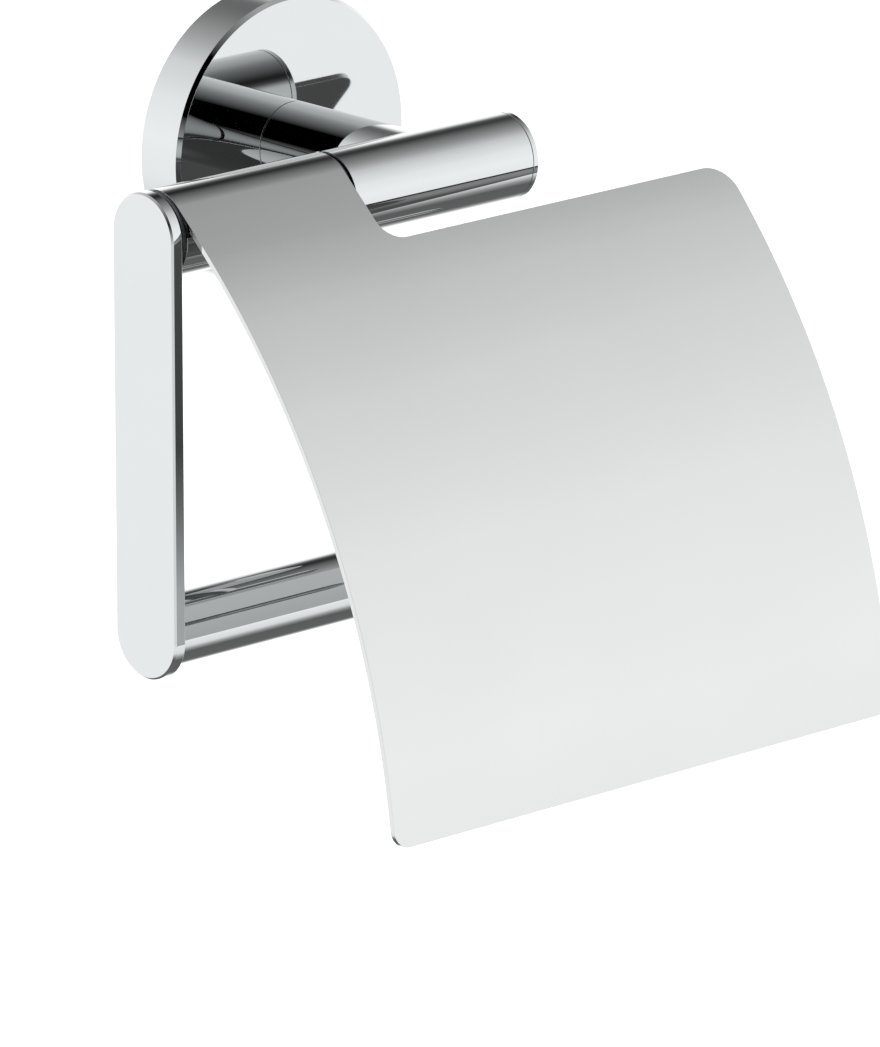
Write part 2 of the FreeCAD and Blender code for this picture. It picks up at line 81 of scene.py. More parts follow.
def runOf(node, axis):
    # Where a CAD node starts on the line along an axis through its middle, and its length there.
    middle, half = placeOf(node)
    reach = abs(half.dot(axis))
    return middle - axis * reach, reach * 2


def newObject(name, mesh):
    piece = bpy.data.objects.new(name, mesh)
    bpy.context.scene.collection.objects.link(piece)
    return piece


def meshPiece(name, shape):
    # A bmesh as a smooth-shaded object, its faces turned outwards.
    bmesh.ops.recalc_face_normals(shape, faces=shape.faces)
    mesh = bpy.data.meshes.new(name)
    shape.to_mesh(mesh)
    shape.free()
    mesh.shade_smooth()
    return newObject(name, mesh)


def applyModifiers(piece):
    # Leaves the evaluated result as a plain mesh.
    graph = bpy.context.evaluated_depsgraph_get()
    mesh = bpy.data.meshes.new_from_object(piece.evaluated_get(graph))
    piece.modifiers.clear()
    piece.data = mesh


def softenEdges(piece, radius, angle=30):
    # The small radius that polishing leaves on an edge.
    edge = piece.modifiers.new("edge", "BEVEL")
    edge.width = radius
    edge.segments = 3
    edge.limit_method = "ANGLE"
    edge.angle_limit = math.radians(angle)
    edge.harden_normals = True
    applyModifiers(piece)


def turnedPiece(name, profile, axis, start, steps=192):
    # A lathe piece: profile is a closed line of (distance along the axis, radius).
    # Its first corner lies on X, or on Z when it's turned about X.
    side = upright if axis.x else alongX
    across = axis.cross(side)
    shape = bmesh.new()
    rings = []
    for along, radius in profile:
        centre = start + axis * along
        if radius == 0:
            rings.append([shape.verts.new(centre)] * steps)
            continue
        ring = []
        for i in range(steps):
            turn = 2 * math.pi * i / steps
            ring.append(shape.verts.new(centre + (side * math.cos(turn) + across * math.sin(turn)) * radius))
        rings.append(ring)
    for ring, after in zip(rings, rings[1:] + rings[:1]):
        for i in range(steps):
            corners = [ring[i], ring[(i + 1) % steps], after[(i + 1) % steps], after[i]]
            corners = [v for n, v in enumerate(corners) if v not in corners[:n]]
            if len(corners) > 2:
                shape.faces.new(corners)
    return meshPiece(name, shape)


def roundEndedPiece(name, firstEnd, secondEnd, normal, levels, steps=64):
    # A plate with two round ends: levels are (height along the normal, radius of the ends).
    along = (secondEnd - firstEnd).normalized()
    side = normal.cross(along)
    shape = bmesh.new()
    rings = []
    for height, radius in levels:
        ring = []
        for centre, outward in ((firstEnd, -1), (secondEnd, 1)):
            for i in range(steps + 1):
                turn = math.pi * i / steps
                spread = side * math.cos(turn) + along * math.sin(turn)
                ring.append(shape.verts.new(centre + normal * height + spread * radius * outward))
        rings.append(ring)
    count = len(rings[0])
    for ring, after in zip(rings, rings[1:]):
        for i in range(count):
            j = (i + 1) % count
            shape.faces.new((ring[i], ring[j], after[j], after[i]))
    shape.faces.new(rings[0])
    shape.faces.new(rings[-1])
    return meshPiece(name, shape)


def rod(radius, axis, start, length, steps=96):
    # A plain round or six-sided bar that cuts a hole.
    return turnedPiece("tool", [(0, 0), (0, radius), (length, radius), (length, 0)], axis, start, steps)


def cutWith(piece, *tools, operation="DIFFERENCE"):
    # Takes the tools' shapes out of a piece, or keeps what they share, and throws the tools away.
    for tool in tools:
        step = piece.modifiers.new("cut", "BOOLEAN")
        step.operation = operation
        step.object = tool
        step.solver = "EXACT"
    applyModifiers(piece)
    for tool in tools:
        bpy.data.objects.remove(tool)
    # slivers beside a cut would hold back the rounding of its edges, so flat faces are joined up again
    nearest = 0.002 * mm
    flattest = math.radians(0.3)
    shape = bmesh.new()
    shape.from_mesh(piece.data)
    bmesh.ops.remove_doubles(shape, verts=shape.verts, dist=nearest)
    bmesh.ops.dissolve_limit(shape, angle_limit=flattest, verts=shape.verts, edges=shape.edges)
    shape.to_mesh(piece.data)
    shape.free()


def finishPiece(piece, material, body, slotName, *nodes):
    # Gives a piece its material, the body it moves with and the CAD nodes it replaces. slotName is not used.
    piece.data.materials.clear()
    piece.data.materials.append(material)
    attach(piece, body)
    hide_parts(*nodes)
    print("made", piece.name, len(piece.data.polygons), "faces")
    return piece


def newMaterial(name, hexText, metallic, roughness):
    # A plain principled material, with its node tree and its shader for what is added to it.
    material = bpy.data.materials.new(name)
    material.use_nodes = True
    tree = material.node_tree
    shader = tree.nodes["Principled BSDF"]
    shader.inputs["Base Color"].default_value = linearColour(hexText)
    shader.inputs["Metallic"].default_value = metallic
    shader.inputs["Roughness"].default_value = roughness
    return material, tree, shader


def chromePlate(name, settings):
    # Bright chromium over nickel on buffed metal: a mirror with a slightly blue-grey tone,
    # a little haze in soft patches and a faint long wave that buffing leaves.
    material, tree, shader = newMaterial(name, settings["colour"], 1.0, settings["clearest"])
    place = addNode(tree, "ShaderNodeTexCoord").outputs["Object"]
    haze = addNode(tree, "ShaderNodeTexNoise",
                   {"Vector": place, "Scale": 1 / settings["hazePatch"], "Detail": 3.0}).outputs["Fac"]
    rough = addNode(tree, "ShaderNodeMapRange",
                    {"Value": haze, "From Min": 0.3, "From Max": 0.7,
                     "To Min": settings["clearest"], "To Max": settings["haziest"]}).outputs["Result"]
    tone = addNode(tree, "ShaderNodeMix",
                   {"Factor": haze, 6: linearColour(settings["colour"]),
                    7: linearColour(settings["hazeColour"])}, data_type="RGBA").outputs[2]
    wave = addNode(tree, "ShaderNodeTexNoise",
                   {"Vector": place, "Scale": 1 / settings["buffWave"], "Detail": 0.0}).outputs["Fac"]
    bump = addNode(tree, "ShaderNodeBump",
                   {"Height": wave, "Strength": 1.0, "Distance": settings["buffDepth"]}).outputs["Normal"]
    tree.links.new(rough, shader.inputs["Roughness"])
    tree.links.new(tone, shader.inputs["Base Color"])
    tree.links.new(bump, shader.inputs["Normal"])
    return material


def grainedFinish(name, settings):
    # A duller metal or plastic: fine grain in its roughness and bump, as deep as its making leaves it,
    # and a tone that shifts in larger patches. A stretch draws the grain out into turning lines
    # round the X axis.
    material, tree, shader = newMaterial(name, settings["colour"], settings["metallic"], settings["dull"])
    place = addNode(tree, "ShaderNodeTexCoord").outputs["Object"]
    drawn = addNode(tree, "ShaderNodeMapping", {"Vector": place, "Scale": settings["stretch"]}).outputs[0]
    grain = addNode(tree, "ShaderNodeTexNoise",
                    {"Vector": drawn, "Scale": 1 / settings["grain"], "Detail": 4.0}).outputs["Fac"]
    patch = addNode(tree, "ShaderNodeTexNoise",
                    {"Vector": place, "Scale": 1 / settings["patch"], "Detail": 2.0}).outputs["Fac"]
    tone = addNode(tree, "ShaderNodeMix",
                   {"Factor": patch, 6: linearColour(settings["colour"]),
                    7: linearColour(settings["patchColour"])}, data_type="RGBA").outputs[2]
    rough = addNode(tree, "ShaderNodeMapRange",
                    {"Value": grain, "From Min": 0.3, "From Max": 0.7,
                     "To Min": settings["bright"], "To Max": settings["dull"]}).outputs["Result"]
    bump = addNode(tree, "ShaderNodeBump",
                   {"Height": grain, "Strength": 0.6, "Distance": settings["depth"]}).outputs["Normal"]
    tree.links.new(tone, shader.inputs["Base Color"])
    tree.links.new(rough, shader.inputs["Roughness"])
    tree.links.new(bump, shader.inputs["Normal"])
    return material


barChrome = chromePlate("chromePlatedBrass", {
    "colour": "#babcbc",
    "hazeColour": "#b7babb",
    "clearest": 0.012,
    "haziest": 0.03,
    "hazePatch": 14 * mm,
    "buffWave": 22 * mm,
    "buffDepth": 0.002 * mm,
})
sheetChrome = chromePlate("chromePlatedSheet", {
    "colour": "#babcbb",
    "hazeColour": "#b7b9b9",
    "clearest": 0.03,
    "haziest": 0.06,
    "hazePatch": 24 * mm,
    "buffWave": 40 * mm,
    "buffDepth": 0.004 * mm,
})
# Zinc alloy as it leaves the die: grey, dull and slightly mottled, with a skin like fine orange peel.
castZinc = grainedFinish("dieCastZinc", {
    "colour": "#9a9da0",
    "patchColour": "#84878b",
    "metallic": 1.0,
    "bright": 0.34,
    "dull": 0.52,
    "grain": 0.6 * mm,
    "patch": 5 * mm,
    "depth": 0.06 * mm,
    "stretch": (1, 1, 1),
})
# Steel with bright zinc plating: pale grey with a cool tinge and a satin sheen. Its crystals are finer
# than 0.25 mm and are drawn that coarse so that they show.
platedSteel = grainedFinish("zincPlatedSteel", {
    "colour": "#b4b9be",
    "patchColour": "#a3a9b2",
    "metallic": 1.0,
    "bright": 0.2,
    "dull": 0.36,
    "grain": 0.25 * mm,
    "patch": 3 * mm,
    "depth": 0.008 * mm,
    "stretch": (1, 1, 1),
})
# Free-cutting brass from the lathe: warm yellow, with turning lines round the bar. They are about
# 0.1 mm apart and are drawn at 0.3 mm so that they show.
turnedBrass = grainedFinish("turnedBrass", {
    "colour": "#c9a965",
    "patchColour": "#b8965a",
    "metallic": 1.0,
    "bright": 0.16,
    "dull": 0.3,
    "grain": 0.3 * mm,
    "patch": 6 * mm,
    "depth": 0.01 * mm,
    "stretch": (1, 0.04, 0.04),
})
# Black moulded nylon: near black, with a low sheen and the fine skin of a spark-eroded mould, which is
# drawn a few times coarser than its 0.03 mm so that it shows.
mouldedNylon = grainedFinish("mouldedNylon", {
    "colour": "#1c1d1f",
    "patchColour": "#242527",
    "metallic": 0.0,
    "bright": 0.36,
    "dull": 0.5,
    "grain": 0.2 * mm,
    "patch": 4 * mm,
    "depth": 0.01 * mm,
    "stretch": (1, 1, 1),
})
print("materials made")


rosetteSizes = {
    "rimWall": 3 * mm,
    "faceWall": 2.2 * mm,
    "bevel": 0.7 * mm,
    "studHole": 3.3 * mm,
    "dowelHole": 5 * mm,
    "holeGap": 0.02 * mm,
    "edge": 0.1 * mm,
}


def makeRosette(sizes):
    # A cup over the bracket, with holes for the post stud, the dowel and the grub screw.
    low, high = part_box("rosette")
    screw, screwHalf = placeOf("rosette_grub_screw")
    dowel, dowelHalf = placeOf("post_dowel")
    radius = high.x
    depth = -low.y
    cavity = radius - sizes["rimWall"]
    cup = turnedPiece("rosetteCup", [
        (0, cavity),
        (0, radius),
        (depth - sizes["bevel"], radius),
        (depth, radius - sizes["bevel"]),
        (depth, sizes["studHole"]),
        (depth - sizes["faceWall"], sizes["studHole"]),
        (depth - sizes["faceWall"], cavity),
    ], outFromWall, Vector(), steps=256)
    cutWith(
        cup,
        rod(screwHalf.x + sizes["holeGap"], upright, Vector((0, screw.y, -radius - overshoot)),
            sizes["rimWall"] + overshoot * 3),
        rod(dowelHalf.x + sizes["holeGap"], outFromWall, Vector((0, dowel.y + dowelHalf.y, dowel.z)),
            sizes["dowelHole"]),
    )
    softenEdges(cup, sizes["edge"])
    return finishPiece(cup, barChrome, "holder", "chrome", "rosette")


makeRosette(rosetteSizes)


postSizes = {
    "bore": 3.3 * mm,
    "footChamfer": 0.15 * mm,
    "dowelGap": 0.02 * mm,
    "dowelDepth": 3.6 * mm,
    "steps": 192,
    "copeRings": 8,
    "edge": 0.08 * mm,
}


def makePost(sizes):
    # A tube whose front end is coped to the crossbar. A fine chamfer round its foot draws the line
    # where it meets the rosette.
    half = placeOf("post")[1]
    bar, barHalf = placeOf("crossbar")
    dowel, dowelHalf = placeOf("post_dowel")
    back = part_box("post")[1].y
    foot = sizes["footChamfer"]
    wall = half.x - sizes["bore"]
    # the coped end's rings stand closer together towards its rim, where it curves most
    shares = [math.cos(math.pi / 2 * i / sizes["copeRings"]) for i in range(sizes["copeRings"] + 1)]
    coped = [sizes["bore"] + wall * share for share in shares]
    shape = bmesh.new()
    rings = []
    for radius, end in ([(half.x - foot, back), (half.x, back - foot)] + [(r, None) for r in coped]
                        + [(sizes["bore"], back)]):
        ring = []
        for i in range(sizes["steps"]):
            turn = 2 * math.pi * i / sizes["steps"]
            x = radius * math.sin(turn)
            z = radius * math.cos(turn)
            y = bar.y + math.sqrt(barHalf.z ** 2 - z ** 2) if end is None else end
            ring.append(shape.verts.new((x, y, z)))
        rings.append(ring)
    for ring, after in zip(rings, rings[1:] + rings[:1]):
        for i in range(sizes["steps"]):
            j = (i + 1) % sizes["steps"]
            shape.faces.new((ring[i], ring[j], after[j], after[i]))
    tube = meshPiece("postTube", shape)
    cutWith(tube, rod(dowelHalf.x + sizes["dowelGap"], outFromWall, Vector((0, back + overshoot, dowel.z)),
                      sizes["dowelDepth"] + overshoot))
    softenEdges(tube, sizes["edge"])
    return finishPiece(tube, barChrome, "holder", "chrome", "post")


makePost(postSizes)


barSizes = {
    "spindleBore": 5.02 * mm,
    "rollTubeBore": 5.5 * mm,
    "capThickness": 1.6 * mm,
    "capBevel": 0.4 * mm,
    "fit": 0.02 * mm,
    "seamWidth": 0.16 * mm,
    "seamDepth": 0.5 * mm,
    "holeStart": 0.5 * mm,
    "holeEnd": 0.5 * mm,
    "edge": 0.06 * mm,
}


def studTool():
    # The tapped hole for the post stud, from just behind the crossbar to just past the stud's end.
    radius = placeOf("post_stud")[1].x + barSizes["fit"]
    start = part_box("crossbar")[1].y + barSizes["holeStart"]
    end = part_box("post_stud")[0].y - barSizes["holeEnd"]
    return rod(radius, outFromWall, Vector((0, start, 0)), start - end)


def makeTube(name, node, bore, *tools):
    # A plain bored bar along X, with the tools' holes in it.
    start, length = runOf(node, alongX)
    radius = placeOf(node)[1].z
    tube = turnedPiece(name, [(0, bore), (0, radius), (length, radius), (length, bore)], alongX, start)
    if tools:
        cutWith(tube, *tools)
    softenEdges(tube, barSizes["edge"])
    return finishPiece(tube, barChrome, "holder", "chrome", node)


def makeCap(name, node, bore):
    # A bevelled disc on a spigot. A fine step behind its rim draws the dark line of the seam.
    start, length = runOf(node, alongX)
    radius = placeOf(node)[1].z
    rim = length - barSizes["capThickness"]
    spigot = bore - barSizes["fit"]
    bevel = barSizes["capBevel"]
    seam = barSizes["seamWidth"]
    step = radius - barSizes["seamDepth"]
    cap = turnedPiece(name, [
        (0, 0),
        (0, spigot - bevel),
        (bevel, spigot),
        (rim, spigot),
        (rim, step),
        (rim + seam, step),
        (rim + seam, radius),
        (length - bevel, radius),
        (length, radius - bevel),
        (length, 0),
    ], alongX, start)
    softenEdges(cap, barSizes["edge"])
    return finishPiece(cap, barChrome, "holder", "chrome", node)


makeTube("crossbarTube", "crossbar", barSizes["spindleBore"], studTool())
makeCap("crossbarCap", "crossbar_end_cap", barSizes["spindleBore"])
makeTube("rollBarTube", "roll_bar", barSizes["rollTubeBore"])
makeCap("rollBarCap", "roll_bar_end_cap", barSizes["rollTubeBore"])


armSizes = {
    "bevel": 0.35 * mm,
    "edge": 0.04 * mm,
    "holeRadius": 3.02 * mm,
    "holeDepth": 1.5 * mm,
    "steps": 96,
}


def makeArm(sizes):
    # A plate with round ends, bevelled round both faces, with a blind hole at each end.
    low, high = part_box("arm")
    middle, half = placeOf("arm")
    top = Vector((low.x, middle.y, high.z - half.y))
    bottom = Vector((low.x, middle.y, low.z + half.y))
    thickness = high.x - low.x
    bevel = sizes["bevel"]
    plate = roundEndedPiece("armPlate", bottom, top, alongX, [
        (0, half.y - bevel),
        (bevel, half.y),
        (thickness - bevel, half.y),
        (thickness, half.y - bevel),
    ], steps=sizes["steps"])
    deep = alongX * (thickness - sizes["holeDepth"])
    cutWith(plate, *[rod(sizes["holeRadius"], alongX, end + deep, thickness) for end in (top, bottom)])
    softenEdges(plate, sizes["edge"])
    return finishPiece(plate, barChrome, "holder", "chrome", "arm")


makeArm(armSizes)


hingeSizes = {
    "flange": 0.7 * mm,
    "bodyRadius": 6.98 * mm,
    "bore": 5.05 * mm,
    "spigotRadius": 3 * mm,
    "spigotLength": 1.5 * mm,
    "chamfer": 0.5 * mm,
    "edge": 0.08 * mm,
}


def makeBush(name, node, axis):
    # A flanged bush in one end of the knuckle. The axis points from its flange into the knuckle.
    start, length = runOf(node, axis)
    radius = placeOf(node)[1].z
    flange = hingeSizes["flange"]
    bush = turnedPiece(name, [
        (0, hingeSizes["bore"]),
        (0, radius),
        (flange, radius),
        (flange, hingeSizes["bodyRadius"]),
        (length, hingeSizes["bodyRadius"]),
        (length, hingeSizes["bore"]),
    ], axis, start, steps=128)
    softenEdges(bush, hingeSizes["edge"])
    return finishPiece(bush, mouldedNylon, "cover", "nylon", node)


def makeSpindle(sizes):
    # A turned bar with a thinner end that is brazed into the arm.
    start, length = runOf("hinge_spindle", alongX)
    radius = placeOf("hinge_spindle")[1].z
    spindle = turnedPiece("hingeSpindle", [
        (0, 0),
        (0, sizes["spigotRadius"]),
        (sizes["spigotLength"], sizes["spigotRadius"]),
        (sizes["spigotLength"], radius),
        (length - sizes["chamfer"], radius),
        (length, radius - sizes["chamfer"]),
        (length, 0),
    ], alongX, start, steps=128)
    cutWith(spindle, studTool())
    softenEdges(spindle, sizes["edge"])
    return finishPiece(spindle, turnedBrass, "holder", "brass", "hinge_spindle")


makeBush("hingeBushLeft", "hinge_bush_left", alongX)
makeBush("hingeBushRight", "hinge_bush_right", -alongX)
makeSpindle(hingeSizes)


# angles are in degrees: how far the knuckle curls round, the slope where the sheet leaves it, and how
# far the curved part bends
coverSizes = {
    "thickness": 1 * mm,
    "curlWrap": 318,
    "slope": 42.25,
    "straight": 7.1 * mm,
    "curveRadius": 158 * mm,
    "curveSweep": 41.6,
    "notchDepth": 15.8 * mm,
    "notchRound": 4.6 * mm,
    "shoulderRound": 5.5 * mm,
    "footRound": 3.5 * mm,
    "knuckleRight": -21.8 * mm,
    "seamGap": 0.001 * mm,
    "edge": 0.16 * mm,
    "curlStep": 3,
    "roundSteps": 10,
    "rowSpacing": 2.5 * mm,
    "columnSpacing": 3 * mm,
}


def coverBlank(sizes, knuckleRadius):
    # The flat blank that the cover is bent from. Its own X is across the sheet and its Y is the
    # distance down the sheet from the knuckle's tangent line, so the curl lies at negative Y.
    low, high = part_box("lid")
    curl = knuckleRadius * math.radians(sizes["curlWrap"])
    bendRadius = sizes["curveRadius"] - sizes["thickness"] / 2
    foot = sizes["straight"] + bendRadius * math.radians(sizes["curveSweep"])
    notch = sizes["notchDepth"]
    inner = sizes["notchRound"]
    shoulder = sizes["shoulderRound"]
    corner = sizes["footRound"]

    def sag(radius, distance):
        # how far a rounded corner stands back, at a distance past the start of its round
        return radius - math.sqrt(max(radius ** 2 - max(distance, 0) ** 2, 0))

    def leftEdge(down):
        return low.x + sag(corner, down - (foot - corner))

    def rightEdge(down, onSheet):
        if onSheet:
            return high.x - sag(shoulder, notch + shoulder - down) - sag(corner, down - (foot - corner))
        return sizes["knuckleRight"] + sag(inner, down - (notch - inner))

    quarter = [math.sin(math.pi / 2 * i / sizes["roundSteps"]) for i in range(sizes["roundSteps"] + 1)]
    curlRows = round(sizes["curlWrap"] / sizes["curlStep"])
    tabRows = [-curl * (1 - i / curlRows) for i in range(curlRows)]
    tabRows += [0, sizes["straight"] / 2, sizes["straight"]]
    tabRows += [notch - inner + inner * q for q in quarter]
    sheetRows = [notch + shoulder * (1 - q) for q in reversed(quarter)]
    plain = foot - corner - notch - shoulder
    plainRows = round(plain / sizes["rowSpacing"])
    sheetRows += [notch + shoulder + plain * i / plainRows for i in range(1, plainRows)]
    sheetRows += [foot - corner + corner * q for q in quarter]

    tabWidth = rightEdge(notch, False) - low.x
    wholeWidth = rightEdge(notch, True) - low.x
    tabColumns = round(tabWidth / sizes["columnSpacing"])
    restColumns = round((wholeWidth - tabWidth) / sizes["columnSpacing"])
    tabShares = [i / tabColumns for i in range(tabColumns + 1)]
    rest = 1 - tabWidth / wholeWidth
    wholeShares = [share * (1 - rest) for share in tabShares]
    wholeShares += [1 - rest + rest * i / restColumns for i in range(1, restColumns + 1)]

    shape = bmesh.new()
    for rows, shares, onSheet in ((tabRows, tabShares, False), (sheetRows, wholeShares, True)):
        grid = []
        for down in rows:
            left = leftEdge(down)
            width = rightEdge(down, onSheet) - left
            grid.append([shape.verts.new((left + width * share, down, 0)) for share in shares])
        for row, after in zip(grid, grid[1:]):
            for i in range(len(shares) - 1):
                shape.faces.new((row[i], after[i], after[i + 1], row[i + 1]))
    bmesh.ops.remove_doubles(shape, verts=shape.verts, dist=sizes["seamGap"])
    return meshPiece("coverSheet", shape)


def startTree(name, **inputs):
    # A Geometry Nodes tree with named inputs and one mesh as its result, and its inputs' sockets.
    tree = bpy.data.node_groups.new(name, "GeometryNodeTree")
    for title, kind in inputs.items():
        tree.interface.new_socket(title, in_out="INPUT", socket_type="NodeSocket" + kind)
    tree.interface.new_socket("Result", in_out="OUTPUT", socket_type="NodeSocketGeometry")
    return tree, addNode(tree, "NodeGroupInput").outputs


def endTree(tree, geometry, finish):
    # Makes instances real, gives the result its material and hands it out.
    real = addNode(tree, "GeometryNodeRealizeInstances", {0: geometry}).outputs[0]
    painted = addNode(tree, "GeometryNodeSetMaterial", {"Geometry": real, "Material": finish}).outputs[0]
    addNode(tree, "NodeGroupOutput", {0: painted})
    return tree


def bendTree():
    # Bends a flat blank: a curl round the hinge, a straight run and a curve, each with its own radius.
    tree, given = startTree("bendSheet", Blank="Geometry", Knuckle="Float", Slope="Float", Straight="Float",
                            Curve="Float", Hinge="Vector", Finish="Material")
    blank = addNode(tree, "GeometryNodeInputPosition").outputs[0]
    split = addNode(tree, "ShaderNodeSeparateXYZ", {0: blank}).outputs
    down = split["Y"]
    onCurl = addNode(tree, "ShaderNodeMath", {0: down, 1: 0.0}, operation="MINIMUM").outputs[0]
    belowLine = addNode(tree, "ShaderNodeMath", {0: down, 1: 0.0}, operation="MAXIMUM").outputs[0]
    onStraight = addNode(tree, "ShaderNodeMath", {0: belowLine, 1: given["Straight"]},
                         operation="MINIMUM").outputs[0]
    onCurve = addNode(tree, "ShaderNodeMath", {0: belowLine, 1: onStraight}, operation="SUBTRACT").outputs[0]
    # slopes of the sheet, counted from level towards the front
    curlTurn = addNode(tree, "ShaderNodeMath", {0: onCurl, 1: given["Knuckle"]},
                       operation="DIVIDE").outputs[0]
    curlSlope = addNode(tree, "ShaderNodeMath", {0: given["Slope"], 1: curlTurn}, operation="ADD").outputs[0]
    curveTurn = addNode(tree, "ShaderNodeMath", {0: onCurve, 1: given["Curve"]},
                        operation="DIVIDE").outputs[0]
    curveSlope = addNode(tree, "ShaderNodeMath", {0: given["Slope"], 1: curveTurn},
                         operation="ADD").outputs[0]
    # the sheet's upward and downhill directions, tilted forwards about the hinge
    directions = []
    for vector, angle in (((0, 0, 1), curlSlope), ((0, 0, 1), given["Slope"]), ((0, 0, 1), curveSlope),
                          ((0, -1, 0), given["Slope"])):
        directions.append(addNode(tree, "ShaderNodeVectorRotate", {"Vector": vector, "Angle": angle},
                                  rotation_type="X_AXIS").outputs[0])
    upCurl, upLine, upCurve, downLine = directions
    arc = addNode(tree, "ShaderNodeVectorMath", {0: upCurve, 1: upLine}, operation="SUBTRACT").outputs[0]
    place = addNode(tree, "ShaderNodeCombineXYZ", {"X": split["X"]}).outputs[0]
    place = addNode(tree, "ShaderNodeVectorMath", {0: place, 1: given["Hinge"]}, operation="ADD").outputs[0]
    for direction, distance in ((upCurl, given["Knuckle"]), (downLine, onStraight),
                                (arc, given["Curve"])):
        step = addNode(tree, "ShaderNodeVectorMath", {0: direction, "Scale": distance},
                       operation="SCALE").outputs[0]
        place = addNode(tree, "ShaderNodeVectorMath", {0: place, 1: step}, operation="ADD").outputs[0]
    bent = addNode(tree, "GeometryNodeSetPosition",
                   {"Geometry": given["Blank"], "Position": place}).outputs[0]
    return endTree(tree, bent, given["Finish"])


def setInputs(modifier, values):
    # Sets a Geometry Nodes modifier's inputs, found by name and set by identifier.
    for item in modifier.node_group.interface.items_tree:
        if item.in_out == "INPUT" and item.name in values:
            modifier[item.identifier] = values[item.name]


def makeCover(sizes):
    # The bent sheet is the middle of the cover's thickness, and a wall is added on both its sides.
    hinge, half = placeOf("crossbar")
    knuckleRadius = half.z - sizes["thickness"] / 2
    cover = coverBlank(sizes, knuckleRadius)
    bend = cover.modifiers.new("bend", "NODES")
    bend.node_group = bendTree()
    setInputs(bend, {
        "Knuckle": knuckleRadius,
        "Slope": math.radians(sizes["slope"]),
        "Straight": sizes["straight"],
        "Curve": sizes["curveRadius"] - sizes["thickness"] / 2,
        "Hinge": (0.0, hinge.y, hinge.z),
        "Finish": sheetChrome,
    })
    applyModifiers(cover)
    wall = cover.modifiers.new("thickness", "SOLIDIFY")
    wall.thickness = sizes["thickness"]
    wall.offset = 0
    softenEdges(cover, sizes["edge"], angle=45)
    return finishPiece(cover, sheetChrome, "cover", "lid_chrome", "lid")


makeCover(coverSizes)


bracketSizes = {
    "bore": 9 * mm,
    "grooveHeight": 3.2 * mm,
    "grooveDepth": 1 * mm,
    "slotSpacing": 32 * mm,
    "slotLength": 8 * mm,
    "slotWidth": 4.5 * mm,
    "sinkWidth": 8.6 * mm,
    "sinkDepth": 2.4 * mm,
    "edge": 0.25 * mm,
}


def makeBracket(sizes):
    # A cast ring with a V groove round it, and two slots whose front ends are sunk for screw heads.
    low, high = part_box("wall_bracket")
    radius, depth = high.x, -low.y
    groove, height = sizes["grooveDepth"], sizes["grooveHeight"]
    ring = turnedPiece("wallBracket", [
        (0, sizes["bore"]),
        (0, radius),
        (height - groove, radius),
        (height, radius - groove),
        (height + groove, radius),
        (depth, radius),
        (depth, sizes["bore"]),
    ], outFromWall, Vector(), steps=160)
    reach = (sizes["slotLength"] - sizes["slotWidth"]) / 2
    for side in (-1, 1):
        middle = side * sizes["slotSpacing"] / 2
        ends = [Vector((middle + way * reach, 0, 0)) for way in (-1, 1)]
        cutWith(ring, roundEndedPiece("tool", *ends, outFromWall, [
            (-overshoot, sizes["slotWidth"] / 2),
            (depth - sizes["sinkDepth"], sizes["slotWidth"] / 2),
            (depth - sizes["sinkDepth"], sizes["sinkWidth"] / 2),
            (depth + overshoot, sizes["sinkWidth"] / 2),
        ], steps=32))
    softenEdges(ring, sizes["edge"])
    return finishPiece(ring, castZinc, "holder", "zinc", "wall_bracket")


makeBracket(bracketSizes)


# the parts of the pitch that a thread's tooth takes up at its root and at its crest, and how finely
# its helix is drawn
toothShares = {
    "root": 0.86,
    "crest": 0.14,
    "pointsPerTurn": 40,
}


def threadTree(shares):
    # Winds a thread's crest round a stud that stands along Z, and joins it to the stud.
    tree, given = startTree("threadCrest", Stud="Geometry", Core="Float", Crest="Float", Pitch="Float",
                            Start="Float", Length="Float", Finish="Material")
    turns = addNode(tree, "ShaderNodeMath", {0: given["Length"], 1: given["Pitch"]},
                    operation="DIVIDE").outputs[0]
    height = addNode(tree, "ShaderNodeMath", {0: given["Crest"], 1: given["Core"]},
                     operation="SUBTRACT").outputs[0]
    middle = addNode(tree, "ShaderNodeMath", {0: height, 1: 0.5, 2: given["Core"]},
                     operation="MULTIPLY_ADD").outputs[0]
    root = addNode(tree, "ShaderNodeMath", {0: given["Pitch"], 1: shares["root"]},
                   operation="MULTIPLY").outputs[0]
    crest = addNode(tree, "ShaderNodeMath", {0: given["Pitch"], 1: shares["crest"]},
                    operation="MULTIPLY").outputs[0]
    path = addNode(tree, "GeometryNodeCurveSpiral",
                   {"Resolution": shares["pointsPerTurn"], "Rotations": turns, "Start Radius": middle,
                    "End Radius": middle, "Height": given["Length"], "Reverse": True}).outputs[0]
    path = addNode(tree, "GeometryNodeSetCurveNormal", {"Curve": path}, mode="Z_UP").outputs[0]
    tooth = addNode(tree, "GeometryNodeCurvePrimitiveQuadrilateral",
                    {"Bottom Width": root, "Top Width": crest, "Height": height, "Offset": 0.0},
                    mode="TRAPEZOID").outputs[0]
    tooth = addNode(tree, "GeometryNodeTransform",
                    {"Geometry": tooth, "Rotation": (0, 0, math.pi / 2)}).outputs[0]
    ridge = addNode(tree, "GeometryNodeCurveToMesh",
                    {"Curve": path, "Profile Curve": tooth, "Fill Caps": True}).outputs[0]
    lift = addNode(tree, "ShaderNodeCombineXYZ", {"Z": given["Start"]}).outputs[0]
    ridge = addNode(tree, "GeometryNodeTransform", {"Geometry": ridge, "Translation": lift}).outputs[0]
    both = addNode(tree, "GeometryNodeJoinGeometry", {0: given["Stud"]})
    tree.links.new(ridge, both.inputs[0])
    return endTree(tree, both.outputs[0], given["Finish"])


